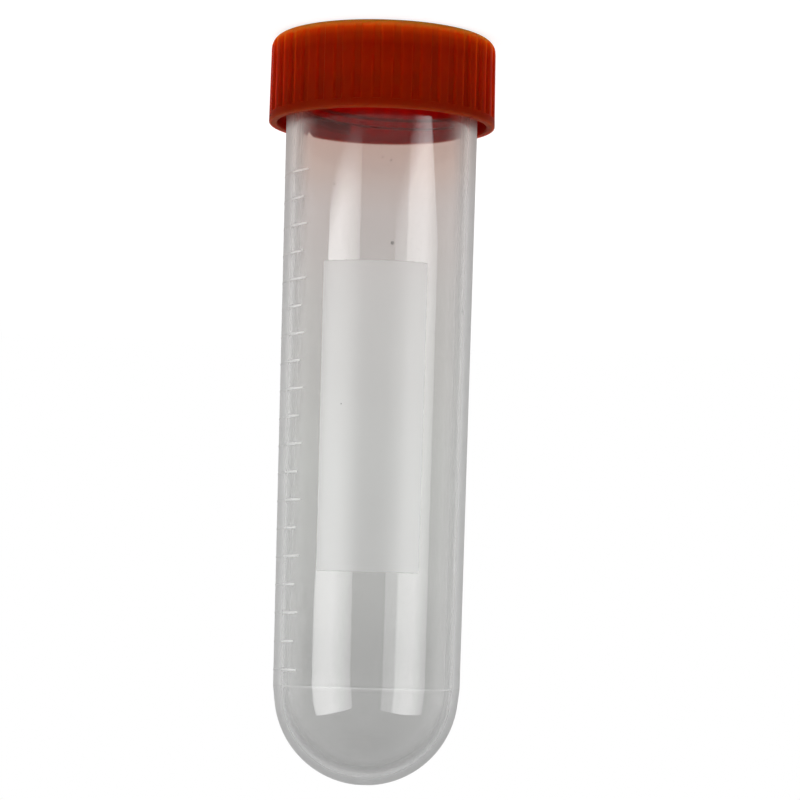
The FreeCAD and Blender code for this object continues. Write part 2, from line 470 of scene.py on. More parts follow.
def helix_ridge(name, root, crest, start, height, turns):
    """A screw ridge that winds down to the cap from a start, drawn out from a flat section."""
    rest()
    outward = math.copysign(1.0, crest - root)
    middle = (root + crest) / 2
    bpy.ops.mesh.primitive_plane_add(size=1.0, location=(0.0, 0.0, 0.0))
    ridge = bpy.context.object
    ridge.name = name
    bpy.ops.object.mode_set(mode="EDIT")
    bpy.ops.mesh.select_all(action="SELECT")
    bpy.ops.transform.rotate(value=math.pi / 2, orient_axis="X", center_override=(0.0, 0.0, 0.0))
    depth = RIDGE_HEIGHT + RIDGE_SINK
    bpy.ops.transform.resize(value=(depth, 1.0, RIDGE_BASE), center_override=(0.0, 0.0, 0.0))
    reach = middle - outward * RIDGE_SINK / 2
    bpy.ops.transform.translate(value=(reach, 0.0, height))
    pick(lambda p: (p.x - reach) * outward > 0)
    bpy.ops.transform.resize(
        value=(1.0, 1.0, RIDGE_CREST / RIDGE_BASE), center_override=(crest, 0.0, height)
    )
    bpy.ops.mesh.select_all(action="SELECT")
    turn(start - math.pi / 2)
    step = 2 * math.pi * turns / RIDGE_STEPS
    for _ in range(RIDGE_STEPS):
        drop = (0.0, 0.0, -THREAD_LEAD * step / (2 * math.pi))
        bpy.ops.mesh.extrude_region_move(TRANSFORM_OT_translate={"value": drop})
        turn(-step)
    bpy.ops.mesh.select_all(action="SELECT")
    bpy.ops.mesh.normals_make_consistent(inside=False)
    bpy.ops.object.mode_set(mode="OBJECT")
    return ridge


def unite(piece, added):
    """Makes one closed shape of two and deletes the second."""
    rest()
    piece.select_set(True)
    bpy.context.view_layer.objects.active = piece
    join = piece.modifiers.new("join", "BOOLEAN")
    join.operation = "UNION"
    join.solver = "EXACT"
    join.object = added
    bpy.ops.object.modifier_apply(modifier=join.name)
    bpy.data.objects.remove(added)


def finish_piece(piece, body, node, material):
    """Shades a piece, gives it its finish and puts it on its body in place of its CAD node."""
    rest()
    piece.select_set(True)
    bpy.context.view_layer.objects.active = piece
    bpy.ops.object.shade_smooth_by_angle(angle=SMOOTH_ANGLE)
    bpy.ops.object.transform_apply(location=True, rotation=True, scale=True)
    piece.data.materials.clear()
    piece.data.materials.append(material)
    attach(piece, body)
    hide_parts(node)


# Node tools


def new_tree(name):
    material = bpy.data.materials.new(name)
    material.use_nodes = True
    tree = material.node_tree
    tree.nodes.clear()
    return material, tree


def add(tree, kind, inputs=None, **settings):
    """A node with its settings, its plain values set and its links made."""
    made = tree.nodes.new(kind)
    for key, value in settings.items():
        setattr(made, key, value)
    for key, value in (inputs or {}).items():
        if isinstance(value, bpy.types.NodeSocket):
            tree.links.new(value, made.inputs[key])
        else:
            made.inputs[key].default_value = value
    return made


def calc(tree, operation, *values, clamp=False):
    inputs = dict(enumerate(values))
    return add(tree, "ShaderNodeMath", inputs, operation=operation, use_clamp=clamp).outputs[0]


def blend_colours(tree, share, first, second):
    inputs = {"Factor": share, 6: first, 7: second}
    return add(tree, "ShaderNodeMix", inputs, data_type="RGBA").outputs[2]


def times(tree, first, second):
    """Two colours multiplied."""
    inputs = {"Factor": 1.0, 6: first, 7: second}
    mixed = add(tree, "ShaderNodeMix", inputs, data_type="RGBA", blend_type="MULTIPLY")
    return mixed.outputs[2]


def blend_values(tree, share, first, second):
    inputs = {"Factor": share, 2: first, 3: second}
    return add(tree, "ShaderNodeMix", inputs, data_type="FLOAT").outputs[0]


def ramp(tree, value, stops):
    """Colours or levels that change with a value from 0 to 1."""
    made = add(tree, "ShaderNodeValToRGB", {"Fac": value})
    points = made.color_ramp.elements
    while len(points) < len(stops):
        points.new(1.0)
    for point, (where, level) in zip(points, stops):
        point.position = where
        point.color = (*level, 1.0) if isinstance(level, tuple) else (level, level, level, 1.0)
    return made.outputs["Color"]


def noise(tree, place, size, detail):
    """Noise whose patches are about a size across, in metres."""
    inputs = {"Vector": place, "Scale": 1.0 / size, "Detail": detail}
    return add(tree, "ShaderNodeTexNoise", inputs).outputs["Fac"]


def vector(tree, operation, inputs, output=0):
    return add(tree, "ShaderNodeVectorMath", inputs, operation=operation).outputs[output]


def split_up(tree, place):
    """The X, Y and Z of a vector."""
    parts = add(tree, "ShaderNodeSeparateXYZ", {0: place}).outputs
    return parts["X"], parts["Y"], parts["Z"]


def height_and_radius(tree, place):
    """Height above the floor and distance from the axis."""
    x, y, height = split_up(tree, place)
    flat = add(tree, "ShaderNodeCombineXYZ", {0: x, 1: y}).outputs[0]
    return height, vector(tree, "LENGTH", {0: flat}, "Value")


def bump(tree, relief, strength, depth):
    inputs = {"Height": relief, "Strength": strength, "Distance": depth}
    return add(tree, "ShaderNodeBump", inputs).outputs["Normal"]


def finish_material(tree, looks, volume=None):
    """Gives a material its surface and, where it has one, its volume."""
    ends = {"Surface": add(tree, "ShaderNodeBsdfPrincipled", looks).outputs["BSDF"]}
    if volume:
        ends["Volume"] = add(tree, "ShaderNodeVolumeAbsorption", volume).outputs["Volume"]
    add(tree, "ShaderNodeOutputMaterial", ends)


# Tube


def outer_radius(settings, height):
    return settings.body_radius + (height - FOOT) * math.tan(OUTER_DRAFT)


def inner_radius(settings, height):
    return settings.body_radius - settings.wall + (height - FOOT) * math.tan(INNER_DRAFT)


def line_heights(settings):
    """Lines one measure apart, in a bore that widens towards the mouth."""
    heights = [LINE_FIRST]
    while len(heights) < LINES:
        area = math.pi * inner_radius(settings, heights[-1]) ** 2
        heights.append(heights[-1] + LINE_VOLUME / area)
    return heights


def wall_heights(settings):
    """Heights of the rings up the outer wall: the edges of every line and of the panel."""
    heights = [PANEL_LOW, PANEL_HIGH]
    for height in line_heights(settings):
        for half in (LINE_WIDTH / 2, LINE_CREST / 2):
            heights += [height - half, height + half]
    neck = TUBE_LENGTH - (RIM - MOUTH)
    heights += [neck + (TUBE_LENGTH - neck) * i / NECK_RINGS for i in range(NECK_RINGS)]
    return sorted(heights)


def tube_outline(settings):
    """The tube's section from the gate mark out, along the wall to the mouth and back inside."""
    body = settings.body_radius
    end = body - END_INSET
    rise = FOOT - end
    to_foot = math.hypot(body, rise)
    flank = math.degrees(math.acos(end / to_foot) - math.atan2(rise, body))
    gate = 90 - math.degrees(math.asin(GATE_RADIUS / end))

    points = [
        (GATE_NUB_RADIUS, GATE_NUB_SINK),
        (GATE_NUB_RADIUS + GATE_NUB_FLARE, GATE_DEPTH),
        (GATE_RADIUS - GATE_DEPTH, GATE_DEPTH),
    ]
    points += arc((0.0, end), end, -gate, -flank, BOTTOM_RINGS)
    slope = math.tan(math.radians(flank))
    points.append((body - FOOT_CORNER * slope, FOOT - FOOT_CORNER))
    points.append((body - FOOT_CORNER * slope / 3, FOOT))
    points.append((body, FOOT + FOOT_CORNER))
    points += [(outer_radius(settings, h), h) for h in wall_heights(settings)]

    shelf = TUBE_LENGTH - LIP_RADIUS
    for middle, first in (
        (outer_radius(settings, shelf) - LIP_RADIUS, 0),
        (inner_radius(settings, shelf) + LIP_RADIUS, 90),
    ):
        points += arc((middle, shelf), LIP_RADIUS, first, first + 90, LIP_STEPS)

    at_zero = inner_radius(settings, 0.0)
    centre = (settings.bottom + at_zero * math.cos(INNER_DRAFT)) / (1 - math.sin(INNER_DRAFT))
    bore = (at_zero + centre * math.tan(INNER_DRAFT)) * math.cos(INNER_DRAFT)
    low = centre - bore * math.sin(INNER_DRAFT)
    for i in range(1, BORE_RINGS):
        height = shelf + (low - shelf) * i / BORE_RINGS
        points.append((inner_radius(settings, height), height))
    points += arc((0.0, centre), bore, -math.degrees(INNER_DRAFT), BORE_END, BOTTOM_RINGS)
    return [(radius, POLE - height) for radius, height in points]


def raise_lines(settings):
    """Lifts the crest of each volume line out of the wall."""
    for i, height in enumerate(line_heights(settings)):
        z, front = POLE - height, LINE_ENDS[i % 2]
        pick(
            lambda p: abs(p.z - z) < LINE_REACH
            and front < angle_of(p) < LINE_BACK
            and radius_of(p) > settings.body_radius
        )
        widen(1 + LINE_HEIGHT / outer_radius(settings, height), z)


def panel_half_angle(settings):
    return math.pi * PANEL_COLUMNS / settings.segments


def raise_panel(settings):
    """Insets the columns of the writing panel and lifts them out of the wall."""
    reach = panel_half_angle(settings) + PANEL_TURN_SLACK
    low, high = PANEL_LOW - PANEL_SLACK, PANEL_HIGH + PANEL_SLACK
    pick(
        lambda p: low < POLE - p.z < high
        and abs(angle_of(p) - PANEL_TURN) < reach
        and radius_of(p) > settings.body_radius
    )
    bpy.ops.mesh.inset(thickness=PANEL_EDGE, depth=PANEL_PROUD)


def mark_lines(piece, settings):
    """Marks the crests of the lines, and the foot's ring less, for the plastic's finish."""
    marks = piece.data.attributes.new("line", "FLOAT", "POINT")
    for point, mark in zip(piece.data.vertices, marks.data):
        height = POLE - point.co.z
        proud = radius_of(point.co) - outer_radius(settings, height)
        past_panel = LINE_MARKED[0] < angle_of(point.co) < LINE_MARKED[1]
        if LINE_HEIGHT / 2 < proud < LINE_HEIGHT * 1.5 and past_panel:
            mark.value = 1.0
        elif abs(height - FOOT) < FOOT_CORNER / 4 and proud > -settings.wall / 2:
            mark.value = FOOT_MARK


def panel_mask(tree, place, settings):
    """1 on the outside of the writing panel, a rectangle with round corners, and 0 elsewhere."""
    x, y, z = split_up(tree, place)
    turned = calc(tree, "ARCTAN2", x, calc(tree, "MULTIPLY", y, -1.0))
    turned = calc(tree, "SUBTRACT", turned, PANEL_TURN)
    across = calc(tree, "MULTIPLY", turned, settings.body_radius)
    along = calc(tree, "SUBTRACT", z, POLE - (PANEL_HIGH + PANEL_LOW) / 2)
    half_width = panel_half_angle(settings) * settings.body_radius - PANEL_CORNER
    half_height = (PANEL_HIGH - PANEL_LOW) / 2 - PANEL_CORNER
    squares = []
    for reach, half in ((across, half_width), (along, half_height)):
        past = calc(tree, "SUBTRACT", calc(tree, "ABSOLUTE", reach), half)
        squares.append(calc(tree, "POWER", calc(tree, "MAXIMUM", past, 0.0), 2.0))
    past = calc(tree, "SQRT", calc(tree, "ADD", *squares))
    inside = calc(tree, "SUBTRACT", PANEL_CORNER, past)
    field = calc(tree, "DIVIDE", inside, PANEL_FADE, clamp=True)
    _, radius = height_and_radius(tree, place)
    outside = calc(tree, "GREATER_THAN", radius, settings.body_radius)
    return calc(tree, "MULTIPLY", field, outside)


def specks(tree, place, settings):
    """1 on each speck of dust and 0 elsewhere."""
    marked = 0.0
    for angle, height, radius in SPECKS:
        wall = outer_radius(settings, height)
        spot = (wall * math.sin(angle), -wall * math.cos(angle), POLE - height)
        away = vector(tree, "DISTANCE", {0: place, 1: spot}, "Value")
        near = calc(tree, "MULTIPLY_ADD", away, -2.0 / radius, 2.0, clamp=True)
        marked = calc(tree, "MAXIMUM", marked, near)
    return marked


def wall_colour(tree, place, facing, panel, settings):
    """The wall's tint by height, with the cap's red glow painted near the mouth, and by how far it
    is seen edge-on, and the panel's own.
    """
    _, _, height = split_up(tree, place)
    from_mouth = calc(tree, "SUBTRACT", height, MOUTH)
    from_mouth = calc(tree, "DIVIDE", from_mouth, TUBE_LENGTH, clamp=True)
    from_pole = calc(tree, "SUBTRACT", POLE, height)
    dome = calc(tree, "MULTIPLY_ADD", from_pole, -2.0 / FOOT, 2.0, clamp=True)
    edge = blend_colours(tree, dome, ramp(tree, facing, EDGE_TINT), ramp(tree, facing, DOME_TINT))
    # The cap's red glow is painted on the wall near the mouth.
    tint = times(tree, ramp(tree, from_mouth, WALL_TINT_AND_CAP_GLOW), edge)
    tint = blend_colours(tree, panel, tint, ramp(tree, facing, PANEL_TINT))
    return times(tree, tint, (*settings.colour, 1.0))


def tube_plastic(settings):
    """Clear plastic with a milky haze, a glossy wall and a frosted writing panel."""
    material, tree = new_tree("tube_plastic")
    place = add(tree, "ShaderNodeTexCoord").outputs["Object"]
    facing = add(tree, "ShaderNodeLayerWeight", {"Blend": 0.5}).outputs["Facing"]
    panel = panel_mask(tree, place, settings)
    line = add(tree, "ShaderNodeAttribute", attribute_name="line").outputs["Fac"]
    cloud = noise(tree, place, CLOUD_SIZE, 2.0)
    grain = noise(tree, place, GRAIN_SIZE, 2.0)

    colour = wall_colour(tree, place, facing, panel, settings)
    shade = calc(tree, "MULTIPLY_ADD", line, LINE_SHADE, 1.0 - CLOUD_SHADE)
    shade = calc(tree, "MULTIPLY_ADD", cloud, CLOUD_SHADE, shade)
    dusty = calc(tree, "MULTIPLY_ADD", specks(tree, place, settings), -SPECK_SHADE, 1.0)
    shade = calc(tree, "MULTIPLY", shade, dusty)

    wall = calc(tree, "MULTIPLY_ADD", cloud, CLOUD_BLUR, ramp(tree, facing, EDGE_BLUR))
    frost = settings.panel_roughness - PANEL_GRAIN / 2
    frost = calc(tree, "MULTIPLY_ADD", grain, PANEL_GRAIN, frost)
    frosted = calc(tree, "MULTIPLY", panel, ramp(tree, facing, PANEL_FROST))
    roughness = blend_values(tree, frosted, wall, frost)
    roughness = calc(tree, "MULTIPLY_ADD", line, LINE_BLUR, roughness)
    clearness = calc(tree, "MULTIPLY_ADD", line, -LINE_HAZE, settings.clearness)
    clearness = calc(tree, "MULTIPLY_ADD", panel, -settings.panel_haze, clearness)
    clearness = calc(tree, "MULTIPLY", clearness, ramp(tree, facing, EDGE_CLEARNESS))

    stretch = {"Vector": place, "Scale": (1.0, 1.0, WAVE_STRETCH)}
    stretched = add(tree, "ShaderNodeMapping", stretch).outputs[0]
    wave = calc(tree, "MULTIPLY", noise(tree, stretched, WAVE_SIZE, 1.0), WAVE_RELIEF)
    relief = calc(tree, "MULTIPLY", grain, panel)
    relief = calc(tree, "MULTIPLY_ADD", relief, PANEL_RELIEF, wave)
    looks = {
        "Base Color": vector(tree, "SCALE", {0: colour, "Scale": shade}),
        "Roughness": roughness,
        "IOR": 1.49,
        "Transmission Weight": clearness,
        "Normal": bump(tree, relief, 1.0, RELIEF_DEPTH),
    }
    finish_material(tree, looks, {"Color": (0.50, 0.51, 0.50, 1.0), "Density": 80.0})
    return material


class SAMPLETUBE_OT_tube(Operator):
    """Builds the tube: wall, round bottom, thread, volume lines and writing panel in one"""

    bl_idname = "sampletube.tube"
    bl_label = "Tube"

    def execute(self, context):
        settings = context.scene.sample_tube
        piece = lathe("sample_tube", tube_outline(settings), settings.segments)
        bpy.ops.object.mode_set(mode="EDIT")
        bpy.ops.mesh.select_all(action="SELECT")
        turn(PANEL_TURN)
        raise_lines(settings)
        raise_panel(settings)
        bpy.ops.object.mode_set(mode="OBJECT")
        neck = outer_radius(settings, TUBE_LENGTH)
        thread = helix_ridge(
            "neck_thread",
            neck,
            neck + RIDGE_HEIGHT,
            NECK_THREAD_START,
            NECK_THREAD_HEIGHT,
            NECK_THREAD_TURNS,
        )
        unite(piece, thread)
        mark_lines(piece, settings)
        finish_piece(piece, "tube", "tube", tube_plastic(settings))
        return {"FINISHED"}


# Cap


def crest_radius(height):
    """The cap's outside over its ribs, which narrows towards its flat top on the floor."""
    return CAP_RADIUS - (RIM - height) * math.tan(CAP_DRAFT)


def cap_outline():
    """The cap's section from the middle of its flat top out, up the skirt and back inside."""
    shoulder = crest_radius(0.0) - SHOULDER_RADIUS
    band = RIM - BAND_HEIGHT
    points = [(HUB_RADIUS, 0.0), (FLAT_RADIUS / 2, 0.0), (FLAT_RADIUS, 0.0)]
    points += arc((shoulder, SHOULDER_RADIUS), SHOULDER_RADIUS, -90, 0, SHOULDER_STEPS)
    heights = (SHOULDER_END, RIM / 2, band - BAND_LEDGE, band)
    points += [(crest_radius(height), height) for height in heights]
    edge = RIM - RIM_ROUNDING
    points += arc((crest_radius(RIM) - RIM_ROUNDING, edge), RIM_ROUNDING, 0, 90, RIM_STEPS)
    points += arc((CAP_BORE + BORE_EDGE, RIM - BORE_EDGE), BORE_EDGE, 90, 180, BORE_STEPS)
    drop = (BEAD_HIGH - RIM) / SKIRT_RINGS
    points += [(CAP_BORE, RIM + drop * i) for i in range(1, SKIRT_RINGS + 1)]
    points += [
        (BEAD_INNER, (BEAD_HIGH + BEAD_LOW) / 2),
        (BEAD_INNER, BEAD_LOW),
        (CAP_BORE, BEAD_LOW),
        (CAP_BORE, CAP_TOP),
        (FLAT_RADIUS, CAP_TOP),
        (HUB_RADIUS, CAP_TOP),
    ]
    return points


def groove_radius(settings, angle):
    """How near to the axis a groove reaches at an angle from its own middle."""
    floor = CAP_RADIUS - settings.groove_depth
    half = GROOVE_FLOOR / 2
    if floor * math.tan(abs(angle)) <= half:
        return floor / math.cos(angle)
    slant = GROOVE_FLANK * math.cos(angle) - math.sin(abs(angle))
    return (GROOVE_FLANK * floor - half) / slant


def cut_grooves(settings, outline, columns):
    """Pulls the columns of each groove in, ring by ring, from the band to the shoulder."""
    band = RIM - BAND_HEIGHT
    pitch = 2 * math.pi / settings.ribs
    per_rib = columns // settings.ribs
    deepest = CAP_RADIUS - 2 * settings.groove_depth
    rings = [p for p in outline if p[0] > deepest and p[1] < band - BAND_LEDGE / 2]
    for column in range(per_rib // 2):
        angle = column * pitch / per_rib
        depth = groove_radius(settings, angle)
        for radius, height in rings:
            if depth >= radius:
                continue

            def in_groove(p):
                if abs(p.z - height) > SAME_HEIGHT or abs(radius_of(p) - radius) > SAME_RADIUS:
                    return False
                offset = abs((angle_of(p) + pitch / 2) % pitch - pitch / 2)
                return abs(offset - angle) < pitch / per_rib / 4

            pick(in_groove)
            widen(depth / radius, height)


def cap_plastic(settings):
    """Satin orange-red plastic, with a painted glow on its top and shoulder, painted shade towards
    its rim, a painted sheen at the rim's edge and painted light in its grooves.
    """
    material, tree = new_tree("cap_plastic")
    place = add(tree, "ShaderNodeTexCoord").outputs["Object"]
    height, radius = height_and_radius(tree, place)
    up = calc(tree, "DIVIDE", height, RIM, clamp=True)
    crest = calc(tree, "MULTIPLY_ADD", height, math.tan(CAP_DRAFT), crest_radius(0.0))
    sunk = calc(tree, "SUBTRACT", crest, radius)
    sunk = calc(tree, "DIVIDE", sunk, settings.groove_depth, clamp=True)
    cloud = noise(tree, place, CAP_CLOUD_SIZE, 3.0)
    grain = noise(tree, place, CAP_GRAIN_SIZE, 2.0)
    stops = [
        (where, tuple(part * gain for part, gain in zip(settings.colour, gains)))
        for where, gains in CAP_PAINTED_LIGHT
    ]
    # Painted glow, shade and sheen by height, times painted light in the grooves.
    colour = times(tree, ramp(tree, up, stops), ramp(tree, sunk, GROOVE_PAINTED_LIGHT))
    shade = calc(tree, "MULTIPLY_ADD", cloud, CAP_CLOUD_SHADE, 1.0 - CAP_CLOUD_SHADE / 2)
    smooth = settings.roughness - CAP_GRAIN_BLUR / 2
    looks = {
        "Base Color": vector(tree, "SCALE", {0: colour, "Scale": shade}),
        "Roughness": calc(tree, "MULTIPLY_ADD", grain, CAP_GRAIN_BLUR, smooth),
        "IOR": 1.5,
        "Specular IOR Level": 0.015,
        "Subsurface Weight": 1.0,
        "Subsurface Radius": (1.0, 0.15, 0.03),
        "Subsurface Scale": 8.0 * MM,
        "Normal": bump(tree, grain, 0.2, RELIEF_DEPTH),
    }
    finish_material(tree, looks)
    return material


class SAMPLETUBE_OT_cap(Operator):
    """Builds the screw cap: ribbed skirt, rim band, shoulder, inner thread and bead in one"""

    bl_idname = "sampletube.cap"
    bl_label = "Cap"

    def execute(self, context):
        settings = context.scene.sample_cap
        outline = cap_outline()
        columns = settings.ribs * COLUMNS_PER_RIB
        piece = lathe("screw_cap", outline, columns)
        bpy.ops.object.mode_set(mode="EDIT")
        cut_grooves(settings, outline, columns)
        bpy.ops.mesh.select_all(action="SELECT")
        turn(GROOVE_ANGLE)
        bpy.ops.object.mode_set(mode="OBJECT")
        thread = helix_ridge(
            "cap_thread",
            CAP_BORE,
            CAP_BORE - RIDGE_HEIGHT,
            CAP_THREAD_START,
            CAP_THREAD_HEIGHT,
            CAP_THREAD_TURNS,
        )
        unite(piece, thread)
        finish_piece(piece, "cap", "cap", cap_plastic(settings))
        return {"FINISHED"}


# Seal liner


def liner_foam(settings):
    """Matte closed-cell foam."""
    material, tree = new_tree("liner_foam")
    place = add(tree, "ShaderNodeTexCoord").outputs["Object"]
    inputs = {"Vector": place, "Scale": 1.0 / CELL_SIZE}
    cells = add(tree, "ShaderNodeTexVoronoi", inputs).outputs["Distance"]
    pale = (*settings.colour, 1.0)
    dull = (*[part * CELL_SHADE for part in settings.colour], 1.0)
    looks = {
        "Base Color": blend_colours(tree, cells, pale, dull),
        "Roughness": 0.8,
        "Normal": bump(tree, cells, 0.3, CELL_DEPTH),
    }
    finish_material(tree, looks)
    return material


class SAMPLETUBE_OT_liner(Operator):
    """Builds the foam disc that the cap presses on the tube's mouth"""

    bl_idname = "sampletube.liner"
    bl_label = "Seal liner"

    def execute(self, context):
        settings = context.scene.sample_liner
        radius, edge = LINER_HIGH.x, settings.edge
        low, high = LINER_LOW.z, LINER_HIGH.z
        ring = radius * LINER_RING
        outline = [(HUB_RADIUS, low), (ring, low)]
        outline += arc((radius - edge, low + edge), edge, -90, 0, LINER_STEPS)
        outline += arc((radius - edge, high - edge), edge, 0, 90, LINER_STEPS)
        outline += [(ring, high), (HUB_RADIUS, high)]
        piece = lathe("foam_liner", outline, LINER_SEGMENTS)
        finish_piece(piece, "liner", "seal_liner", liner_foam(settings))
        return {"FINISHED"}


# Stage

CAMERA_DISTANCE = 473.3 * MM
CAMERA_DROP = 21.15 * MM
CAMERA_ASIDE = -4.06 * MM
CAMERA_PITCH = math.radians(4.75)
CAMERA_ROLL = math.radians(1.54)
CAMERA_LENS = 135.45
CAMERA_SENSOR = 36.0
CAMERA_CLIP = (0.01, 50.0)

FLOOR_RADIUS = 6.0
FLOOR_SIDES = 96
FLOOR_ECHO = (0.1, 0.1, 0.1, 1.0)
PAPER_SHADE = (0.3, 0.3, 0.3, 1.0)
PAPER_GLOW = 0.82
SHADOW_REACH = 0.5
BACKDROP_SIDE = 0.3
BACKDROP_RISE = 2.0
BLACK = (0.0, 0.0, 0.0, 1.0)
WHITE = (1.0, 1.0, 1.0, 1.0)

# Boxes that the plastic mirrors. Places are angle from the front, distance and height, shares
# are of the power of the strips. A profile gives the brightness from one side to the other,
# a start the heights at which the light begins at those sides, and a waist how far out of
# the middle it reaches at height 0 and per metre up, as shares of the width.
LEFT_STRIP_PLACE = (math.radians(44.5), 0.8, 0.162)
LEFT_STRIP_SIZE = (0.76, 0.56)
LEFT_STRIP_SHARE = 1.2
LEFT_STRIP_TILT = math.radians(7.0)
LEFT_PROFILE = [
    (0.0, 0.3),
    (0.12, 0.5),
    (0.3, 0.75),
    (0.5, 1.0),
    (0.75, 0.92),
    (0.92, 0.75),
    (1.0, 0.45),
]
LEFT_START = (-0.129, -0.088)
LEFT_WAIST = (0.39, 1.22)
RIGHT_STRIP_PLACE = (math.radians(-47.9), 0.8, 0.12)
RIGHT_STRIP_SIZE = (0.858, 0.62)
RIGHT_STRIP_SHARE = 1.3
RIGHT_PROFILE = [
    (0.0, 0.3),
    (0.14, 0.55),
    (0.25, 0.8),
    (0.36, 1.0),
    (0.521, 1.0),
    (0.70, 0.85),
    (0.74, 0.4),
    (1.0, 0.28),
]
RIGHT_START = (-0.165, -0.095)
RIGHT_WAIST = (1.03, 6.35)
START_FADE = 0.03
SIDE_FADE = 0.03
GRID_REACH = (9.8 * MM, 12.0 * MM)

# Soft boxes that only light. The two at the sides stand behind the strips, because lamps in
# one plane hide each other.
LEFT_FILL_PLACE = (math.radians(39.0), 0.87, 0.15)
LEFT_FILL_SHARE = 0.95
RIGHT_FILL_PLACE = (math.radians(-34.0), 0.87, 0.15)
RIGHT_FILL_SHARE = 0.76
SIDE_FILL_SIZE = (0.65, 0.65)
OVERHEAD_PLACE = (0.0, -0.1, 1.3)
OVERHEAD_SIZE = (1.4, 1.4)
LOW_PLACE = (0.0, -0.25, 0.003)
LOW_TARGET = (0.0, -0.25, 1.0)
LOW_SIZE = (0.5, 0.4)


def looked_at(tree):
    """Shares of 1 for rays that look straight or through the tube, mirror, or do both."""
    path = add(tree, "ShaderNodeLightPath").outputs
    through = path["Is Transmission Ray"]
    echo = calc(tree, "MULTIPLY", through, calc(tree, "MINIMUM", path["Glossy Depth"], 1.0))
    looking = calc(tree, "SUBTRACT", calc(tree, "MAXIMUM", path["Is Camera Ray"], through), echo)
    return looking, path["Is Glossy Ray"], echo


def room(settings):
    """A room with a white backdrop behind the tube and soft grey light from the front."""
    world = bpy.data.worlds.new("room")
    world.use_nodes = True
    tree = world.node_tree
    tree.nodes.clear()
    way = add(tree, "ShaderNodeTexCoord").outputs["Generated"]
    _, along, _ = split_up(tree, way)
    backdrop = calc(tree, "MULTIPLY_ADD", along, BACKDROP_RISE, BACKDROP_SIDE, clamp=True)
    looking, mirrored, _ = looked_at(tree)
    white = calc(tree, "MAXIMUM", looking, calc(tree, "MULTIPLY", mirrored, backdrop))
    lit = calc(tree, "MULTIPLY", backdrop, settings.backdrop)
    level = calc(tree, "MAXIMUM", calc(tree, "MAXIMUM", white, lit), settings.ambient)
    shine = add(tree, "ShaderNodeBackground", {"Color": WHITE, "Strength": level})
    add(tree, "ShaderNodeOutputWorld", {"Surface": shine.outputs[0]})
    bpy.context.scene.world = world


def floor_finish(settings):
    """White paper that keeps the object's shadow and stays white into the distance."""
    material, tree = new_tree("studio_floor")
    looking, mirrored, echo = looked_at(tree)
    looking = calc(tree, "MAXIMUM", looking, mirrored)
    plain = blend_colours(tree, echo, (*settings.floor_colour, 1.0), FLOOR_ECHO)
    matte = add(tree, "ShaderNodeBsdfDiffuse", {"Color": plain})
    place = add(tree, "ShaderNodeTexCoord").outputs["Object"]
    away = vector(tree, "LENGTH", {0: place}, "Value")
    far = calc(tree, "MULTIPLY", away, 1.0 / SHADOW_REACH, clamp=True)
    shade = blend_colours(tree, far, PAPER_SHADE, BLACK)
    paper = add(tree, "ShaderNodeBsdfDiffuse", {"Color": shade})
    strength = calc(tree, "MULTIPLY_ADD", far, 1.0 - PAPER_GLOW, PAPER_GLOW)
    glow = add(tree, "ShaderNodeEmission", {"Color": WHITE, "Strength": strength})
    lit = add(tree, "ShaderNodeAddShader", {0: paper.outputs[0], 1: glow.outputs[0]})
    seen = add(tree, "ShaderNodeMixShader", {0: looking, 1: matte.outputs[0], 2: lit.outputs[0]})
    add(tree, "ShaderNodeOutputMaterial", {"Surface": seen.outputs[0]})
    return material


def soft_box(name, place, target, size, power, roll=0.0):
    """A box that faces a target and lights the plastic softly, without being mirrored in it."""
    rest()
    bpy.ops.object.light_add(type="AREA", location=place)
    box = bpy.context.object
    box.name = name
    box.data.shape = "RECTANGLE"
    box.data.size, box.data.size_y = size
    box.data.energy = power
    aim = (Vector(target) - Vector(place)).to_track_quat("-Z", "Y").to_matrix()
    box.rotation_euler = (aim @ Matrix.Rotation(roll, 3, "Z")).to_euler()
    box.visible_camera = False
    box.visible_transmission = False
    box.visible_glossy = False
    return box


def grid(tree, spot):
    """1 for light that passes close to the tube's axis, and 0 for light that passes far off.

    It is the grid on a box, which keeps the tube's edges from glaring at a grazing angle.
    """
    flat = vector(tree, "MULTIPLY", {0: spot["Incoming"], 1: (1.0, 1.0, 0.0)})
    ray = vector(tree, "NORMALIZE", {0: flat})
    turned = vector(tree, "CROSS_PRODUCT", {0: ray, 1: spot["Position"]})
    _, _, passing = split_up(tree, turned)
    near, off = GRID_REACH
    inside = calc(tree, "SUBTRACT", off, calc(tree, "ABSOLUTE", passing))
    return calc(tree, "DIVIDE", inside, off - near, clamp=True)


def mirror_only(box, profile, start, waist):
    """Makes a soft box show only in what mirrors it, with its profile, start and waist."""
    box.visible_glossy = True
    box.visible_diffuse = False
    box.data.use_nodes = True
    tree = box.data.node_tree
    tree.nodes.clear()
    spot = add(tree, "ShaderNodeNewGeometry").outputs
    across, _, _ = split_up(tree, spot["Parametric"])
    _, _, height = split_up(tree, spot["Position"])

    begin = calc(tree, "MULTIPLY_ADD", across, start[1] - start[0], start[0])
    started = calc(tree, "SUBTRACT", height, begin)
    started = calc(tree, "DIVIDE", started, START_FADE, clamp=True)

    outward = math.copysign(1.0, box.location.x)
    aside = calc(tree, "MULTIPLY_ADD", across, outward, -outward / 2)
    reach = calc(tree, "MULTIPLY_ADD", height, waist[1], waist[0])
    within = calc(tree, "SUBTRACT", reach, aside)
    within = calc(tree, "DIVIDE", within, SIDE_FADE, clamp=True)

    strength = ramp(tree, across, profile)
    for share in (started, within, grid(tree, spot)):
        strength = calc(tree, "MULTIPLY", strength, share)
    shine = add(tree, "ShaderNodeEmission", {"Strength": strength})
    add(tree, "ShaderNodeOutputLight", {"Surface": shine.outputs[0]})


